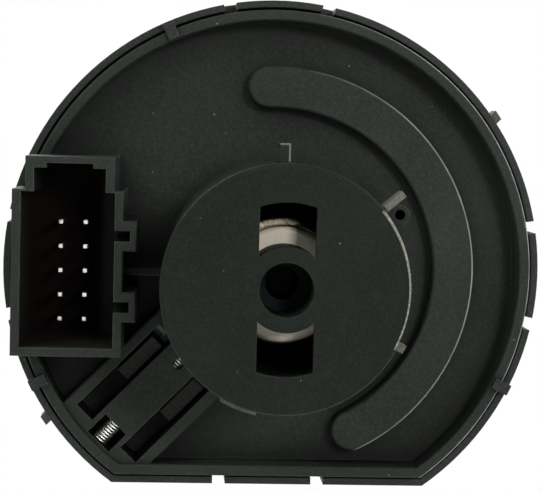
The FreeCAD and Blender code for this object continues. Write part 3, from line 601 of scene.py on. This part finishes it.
class Print:
    """Flat marks on the face plate. u runs to the right and v up, as a person in front sees them."""

    def __init__(self, name):
        self.name = name
        self.mesh = bmesh.new()

    def vertex(self, u, v):
        return self.mesh.verts.new((-u * MM, FACE_Y + PRINT_GAP, v * MM))

    def strip(self, points, width, closed=False):
        """A line of even width through the points."""
        half = width / 2
        count = len(points)
        sides = []
        for i, (u, v) in enumerate(points):
            before = points[i - 1] if i or closed else points[i]
            after = points[(i + 1) % count] if i < count - 1 or closed else points[i]
            du, dv = after[0] - before[0], after[1] - before[1]
            size = math.hypot(du, dv) or 1.0
            nu, nv = -dv / size * half, du / size * half
            sides.append((self.vertex(u + nu, v + nv), self.vertex(u - nu, v - nv)))
        pairs = list(zip(sides, sides[1:]))
        if closed:
            pairs.append((sides[-1], sides[0]))
        for (a, b), (c, d) in pairs:
            self.mesh.faces.new((a, b, d, c))

    def place(self):
        """Gives the marks their thickness and puts them on the switch."""
        bmesh.ops.recalc_face_normals(self.mesh, faces=self.mesh.faces)
        grown = bmesh.ops.extrude_face_region(self.mesh, geom=list(self.mesh.faces))
        moved = [v for v in grown["geom"] if isinstance(v, bmesh.types.BMVert)]
        bmesh.ops.translate(self.mesh, verts=moved, vec=(0, PRINT_THICKNESS, 0))
        bmesh.ops.recalc_face_normals(self.mesh, faces=self.mesh.faces)
        add_piece(self.name, self.mesh, white_print)


def on_circle(cu, cv, radius, angle):
    t = math.radians(angle)
    return cu + radius * math.cos(t), cv + radius * math.sin(t)


def arc(cu, cv, radius, start, end, steps):
    return [on_circle(cu, cv, radius, start + (end - start) * i / steps) for i in range(steps + 1)]


def mark_place(angle):
    return on_circle(0, 0, MARK_CIRCLE, angle)


def lamp_bowl(mark, cu, cv, size, side):
    # The D-shaped reflector of a lamp sign, its round side to the right, or to the left if side is -1.
    curve = [(cu + side * (u - cu), v) for u, v in arc(cu, cv, size, 90, -90, BOWL_STEPS)]
    mark.strip([(cu, cv + size)] + curve + [(cu, cv - size)], BOWL_STROKE, closed=True)


def print_off():
    mark = Print("mark_off")
    cu, cv = mark_place(OFF_ANGLE)
    turns = [2 * math.pi * i / OFF_POINTS for i in range(OFF_POINTS)]
    oval = [(cu + OFF_HALF_WIDTH * math.cos(t), cv + OFF_HALF_HEIGHT * math.sin(t)) for t in turns]
    mark.strip(oval, OFF_STROKE, closed=True)
    mark.place()


def print_side_lamps():
    mark = Print("mark_side_lamps")
    cu, cv = mark_place(SIDE_ANGLE)
    for side in (-1, 1):
        lamp_bowl(mark, cu + side * SMALL_BOWL_OFFSET, cv, SMALL_BOWL, -side)
        for angle in RAY_ANGLES:
            t = math.radians(angle)
            start = (cu + side * RAY_START, cv + RAY_REACH * math.sin(t))
            end = (start[0] + side * RAY_LENGTH * math.cos(t), start[1] + RAY_LENGTH * math.sin(t))
            mark.strip([start, end], RAY_STROKE)
    mark.place()


def print_dipped_beam():
    mark = Print("mark_dipped_beam")
    cu, cv = mark_place(DIPPED_ANGLE)
    lamp_bowl(mark, cu + LARGE_BOWL_OFFSET, cv, LARGE_BOWL, 1)
    for k in range(DIPPED_BEAMS):
        v = cv + DIPPED_TOP - k * DIPPED_STEP
        mark.strip([(cu - BEAM_START, v), (cu - DIPPED_END, v - DIPPED_FALL)], BEAM_STROKE)
    mark.place()


def print_automatic():
    mark = Print("mark_automatic")
    cu, cv = mark_place(AUTO_ANGLE)
    sun = arc(cu, cv, SUN_RADIUS, 0, 360 - 360 / SUN_POINTS, SUN_POINTS - 1)
    mark.strip(sun, RAY_STROKE, closed=True)
    for k in range(SUN_RAYS):
        angle = 360 / SUN_RAYS * k
        ray = [on_circle(cu, cv, radius, angle) for radius in (SUN_RAY_START, SUN_RAY_END)]
        mark.strip(ray, RAY_STROKE)
    mark.place()


def print_fog_lamp():
    mark = Print("mark_fog_lamp")
    cu, cv = mark_place(FOG_ANGLE)
    lamp_bowl(mark, cu + LARGE_BOWL_OFFSET, cv, LARGE_BOWL, 1)
    for k in range(FOG_BEAMS):
        v = cv + FOG_TOP - k * FOG_STEP
        mark.strip([(cu - BEAM_START, v), (cu - FOG_END, v)], BEAM_STROKE)
    swings = [WAVE_SWING * math.sin(i * math.pi / 4) for i in range(WAVE_POINTS)]
    wave = [(cu - WAVE_OFFSET + swing, cv + WAVE_TOP - i * WAVE_STEP) for i, swing in enumerate(swings)]
    mark.strip(wave, BEAM_STROKE)
    mark.place()


def print_ticks():
    # One tick at each of the knob's places, which run clockwise seen from the front.
    mark = Print("marks_of_the_places")
    first, last = JOINTS["knob_turn"]["range_deg"]
    for i in range(KNOB_PLACES):
        turn = first + (last - first) * i / (KNOB_PLACES - 1)
        tick = [on_circle(0, 0, radius, 90 - turn) for radius in (TICK_START, TICK_END)]
        mark.strip(tick, TICK_STROKE)
    mark.place()


print_off()
print_side_lamps()
print_dipped_beam()
print_automatic()
print_fog_lamp()
print_ticks()


# Coil springs, which are pressed together as their joints move; each is shown by a copy on the switch's
# body

def pressed_spring(node):
    """A copy of a spring stands for it, on the switch's body. Its fixed end is the one that its joint
    moves towards.
    """
    thing = bpy.data.objects.new(node + "_coil", NODES[node].data.copy())
    SCENE.collection.objects.link(thing)
    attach(thing, "switch")
    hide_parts(node)
    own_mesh(thing)


pressed_spring("return_spring")
pressed_spring("lower_latch_spring")
pressed_spring("upper_latch_spring")


# The return spring's dressed end, in the upper window

STRAND_RADIUS = 0.00054
STRAND_CIRCLE = 0.00888
STRAND_LIFT = 0.00050
STRAND_START, STRAND_END = 128, 74
STRAND_STEPS, STRAND_SIDES = 150, 14
STRAND_TIP, STRAND_TAPER = 0.25, 9
STRAND_TWIST = 0.22
STRAND_GROOVES, STRAND_GROOVE_DEPTH = 5, 0.08
# Two sets of ridges, each with its height as a share of the radius, and its turn from step to step.
STRAND_RIDGES = ((0.16, 1.3), (0.06, 3.1))


def strand_radius(i):
    # Ridged across, and thinner towards both tips.
    share = i / STRAND_STEPS
    taper = min(1.0, (1 - share) * STRAND_TAPER + STRAND_TIP, share * STRAND_TAPER + STRAND_TIP)
    ridge = 1 + sum(height * math.sin(i * turn) for height, turn in STRAND_RIDGES)
    return STRAND_RADIUS * taper * ridge


def strand_ring(mesh, i, level):
    turn = math.radians(STRAND_START + (STRAND_END - STRAND_START) * i / STRAND_STEPS)
    radius = strand_radius(i)
    ring = []
    for k in range(STRAND_SIDES):
        around = 2 * math.pi * k / STRAND_SIDES
        angle = around + i * STRAND_TWIST
        groove = 1 + STRAND_GROOVE_DEPTH * math.cos(STRAND_GROOVES * around)
        reach = STRAND_CIRCLE + radius * groove * math.cos(angle)
        along = level + radius * math.sin(angle)
        ring.append(mesh.verts.new((reach * math.cos(turn), along, reach * math.sin(turn))))
    return ring


def spring_end():
    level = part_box("return_spring")[0].y + STRAND_LIFT
    mesh = bmesh.new()
    rings = [strand_ring(mesh, i, level) for i in range(STRAND_STEPS + 1)]
    for a, b in zip(rings, rings[1:]):
        for k in range(STRAND_SIDES):
            following = (k + 1) % STRAND_SIDES
            face = mesh.faces.new((a[k], a[following], b[following], b[k]))
            face.smooth = True
    mesh.faces.new(rings[0])
    mesh.faces.new(rings[-1][::-1])
    bmesh.ops.recalc_face_normals(mesh, faces=mesh.faces)
    add_piece("spring_end", mesh, spring_end_wire)


spring_end()


# The small lug beside the cream ring, in the upper window

SEAT_LUG_X, SEAT_LUG_LIFT, SEAT_LUG_Z = -0.00375, 0.0004, 0.0066
SEAT_LUG_RADII = (0.00055, 0.0005, 0.00048)
DENT_DEPTH, DENT_ALONG_X, DENT_ALONG_Z = 0.10, 7, 3


def spring_seat_lug():
    across, deep, high = SEAT_LUG_RADII
    mesh = bmesh.new()
    bmesh.ops.create_icosphere(mesh, subdivisions=3, radius=1.0)
    for vertex in mesh.verts:
        x, y, z = vertex.co
        dented = 1 + DENT_DEPTH * math.sin(DENT_ALONG_X * x + DENT_ALONG_Z * z)
        vertex.co = (x * across * dented, y * deep, z * high * dented)
    for face in mesh.faces:
        face.smooth = True
    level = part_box("spring_seat")[0].y + SEAT_LUG_LIFT
    add_piece("spring_seat_lug", mesh, cream, centre=(SEAT_LUG_X, level, SEAT_LUG_Z))


spring_seat_lug()


# Floor and backdrop

STAGE_SIZE = 3.0
STAGE_COLOUR = (0.8, 0.8, 0.8, 1.0)
STAGE_ROUGHNESS = 0.8
FLOOR_GLOW, BACKDROP_GLOW = 0.40, 1.0
FLOOR_PLACE = (0, 0, -0.25)
BACKDROP_PLACE = (0, 0.9, 0.6)


def background_rays(tree):
    # 1 for the rays that show the background: to the camera, and by way of metal or glass.
    path = tree.nodes.new("ShaderNodeLightPath")
    rays = ("Is Camera Ray", "Is Glossy Ray", "Is Transmission Ray")
    return largest(tree, *(path.outputs[ray] for ray in rays))


def stage_white(name, glow, shaded):
    """Pale for the lights. To the camera it glows evenly, and a shaded one keeps the shadow on it."""
    material, tree, shader = new_material(name)
    shader.inputs["Base Color"].default_value = STAGE_COLOUR
    shader.inputs["Roughness"].default_value = STAGE_ROUGHNESS
    light = tree.nodes.new("ShaderNodeEmission")
    light.inputs[0].default_value = WHITE
    light.inputs[1].default_value = glow
    shown = light.outputs[0]
    if shaded:
        both = tree.nodes.new("ShaderNodeAddShader")
        tree.links.new(shader.outputs[0], both.inputs[0])
        tree.links.new(light.outputs[0], both.inputs[1])
        shown = both.outputs[0]
    mix = tree.nodes.new("ShaderNodeMixShader")
    tree.links.new(background_rays(tree), mix.inputs[0])
    tree.links.new(shader.outputs[0], mix.inputs[1])
    tree.links.new(shown, mix.inputs[2])
    tree.links.new(mix.outputs[0], tree.nodes["Material Output"].inputs[0])
    return material


def card(name, place, turn, material):
    half = STAGE_SIZE / 2
    corners = [(-half, -half, 0), (half, -half, 0), (half, half, 0), (-half, half, 0)]
    mesh = bpy.data.meshes.new(name)
    mesh.from_pydata(corners, [], [(0, 1, 2, 3)])
    mesh.materials.append(material)
    thing = bpy.data.objects.new(name, mesh)
    thing.location = place
    thing.rotation_euler = turn
    SCENE.collection.objects.link(thing)


floor_white = stage_white("floor_white", FLOOR_GLOW, shaded=True)
backdrop_white = stage_white("backdrop_white", BACKDROP_GLOW, shaded=False)
card("floor", FLOOR_PLACE, (0, 0, 0), floor_white)
card("backdrop", BACKDROP_PLACE, (math.radians(90), 0, 0), backdrop_white)


# Lamps. Each has its place, its width, the share of a white surface's full brightness that it
# gives the middle of the switch, and its colour.

LAMPS = {
    "near": ((0.22, -0.60, 0.18), 0.13, 0.42, (0.98, 0.975, 1.0)),
    "upper_left": ((-0.34, -0.32, 0.42), 0.34, 0.56, (0.92, 1.0, 0.90)),
    "right": ((0.62, -0.14, 0.24), 0.16, 0.62, (0.90, 0.97, 1.0)),
    "front_left": ((-0.35, 0.60, 0.40), 0.50, 0.75, (1.0, 0.99, 0.97)),
    "front_right": ((0.45, 0.50, 0.15), 0.40, 0.25, (0.96, 0.98, 1.0)),
}


def lamp(name, place, width, share, colour):
    # A square lamp that looks at the middle of the switch.
    away = Vector(place)
    data = bpy.data.lights.new(name, "AREA")
    data.shape = "RECTANGLE"
    data.size = width
    data.size_y = width
    data.energy = share * math.pi ** 2 * away.length_squared
    data.color = colour
    thing = bpy.data.objects.new(name, data)
    thing.location = place
    thing.rotation_euler = (-away).to_track_quat("-Z", "Y").to_euler()
    SCENE.collection.objects.link(thing)


for name, (place, width, share, colour) in LAMPS.items():
    lamp(name, place, width, share, colour)


# The world: soft light, weaker from below and from straight behind the switch

WORLD_COLOUR = (0.97, 1.0, 0.96, 1.0)
WORLD_STRENGTH = 0.66
BEHIND, BEHIND_SHARE = (0.50, 0.85), 0.10
HEIGHT, LOW_SHARE, HIGH_SHARE = (-0.5, 0.8), 0.15, 1.25


def studio_world():
    world = bpy.data.worlds.new("studio")
    SCENE.world = world
    world.use_nodes = True
    tree = world.node_tree
    around = tree.nodes.new("ShaderNodeTexCoord").outputs["Generated"]
    _, y, z = axes_of(tree, around)
    from_behind = ramp(tree, product(tree, y, -1.0), *BEHIND, at_low=1.0, at_high=BEHIND_SHARE)
    from_height = ramp(tree, z, *HEIGHT, LOW_SHARE, HIGH_SHARE)
    background = tree.nodes["Background"]
    background.inputs[0].default_value = WORLD_COLOUR
    tree.links.new(product(tree, from_behind, from_height, WORLD_STRENGTH), background.inputs[1])
    shown = tree.nodes.new("ShaderNodeBackground")
    shown.inputs[0].default_value = WHITE
    shown.inputs[1].default_value = 1.0
    mix = tree.nodes.new("ShaderNodeMixShader")
    tree.links.new(background_rays(tree), mix.inputs[0])
    tree.links.new(background.outputs[0], mix.inputs[1])
    tree.links.new(shown.outputs[0], mix.inputs[2])
    tree.links.new(mix.outputs[0], tree.nodes["World Output"].inputs[0])


studio_world()


# The camera, at the photograph's viewing angle

EYE = Vector((-0.01558, -0.240, 0.02178))
YAW, PITCH, ROLL = math.radians(3.57), math.radians(-4.23), math.radians(1.52)
SENSOR_WIDTH = 36.0
PHOTO_WIDTH_PIXELS = 540
FOCAL_LENGTH_PIXELS = 1538.9
NEAREST_SEEN = 0.01


def photo_camera():
    ahead = Vector((math.sin(YAW) * math.cos(PITCH), math.cos(YAW) * math.cos(PITCH), math.sin(PITCH)))
    level_right = ahead.cross(Vector((0, 0, 1))).normalized()
    level_up = level_right.cross(ahead)
    right = level_right * math.cos(ROLL) + level_up * math.sin(ROLL)
    up = level_up * math.cos(ROLL) - level_right * math.sin(ROLL)
    lens = bpy.data.cameras.new("camera")
    lens.sensor_width = SENSOR_WIDTH
    lens.lens = FOCAL_LENGTH_PIXELS / PHOTO_WIDTH_PIXELS * SENSOR_WIDTH
    lens.clip_start = NEAREST_SEEN
    camera = bpy.data.objects.new("camera", lens)
    rows = [(right[i], up[i], -ahead[i], EYE[i]) for i in range(3)]
    camera.matrix_world = Matrix((*rows, (0, 0, 0, 1)))
    SCENE.collection.objects.link(camera)
    SCENE.camera = camera


photo_camera()
SCENE.view_settings.view_transform = "Standard"
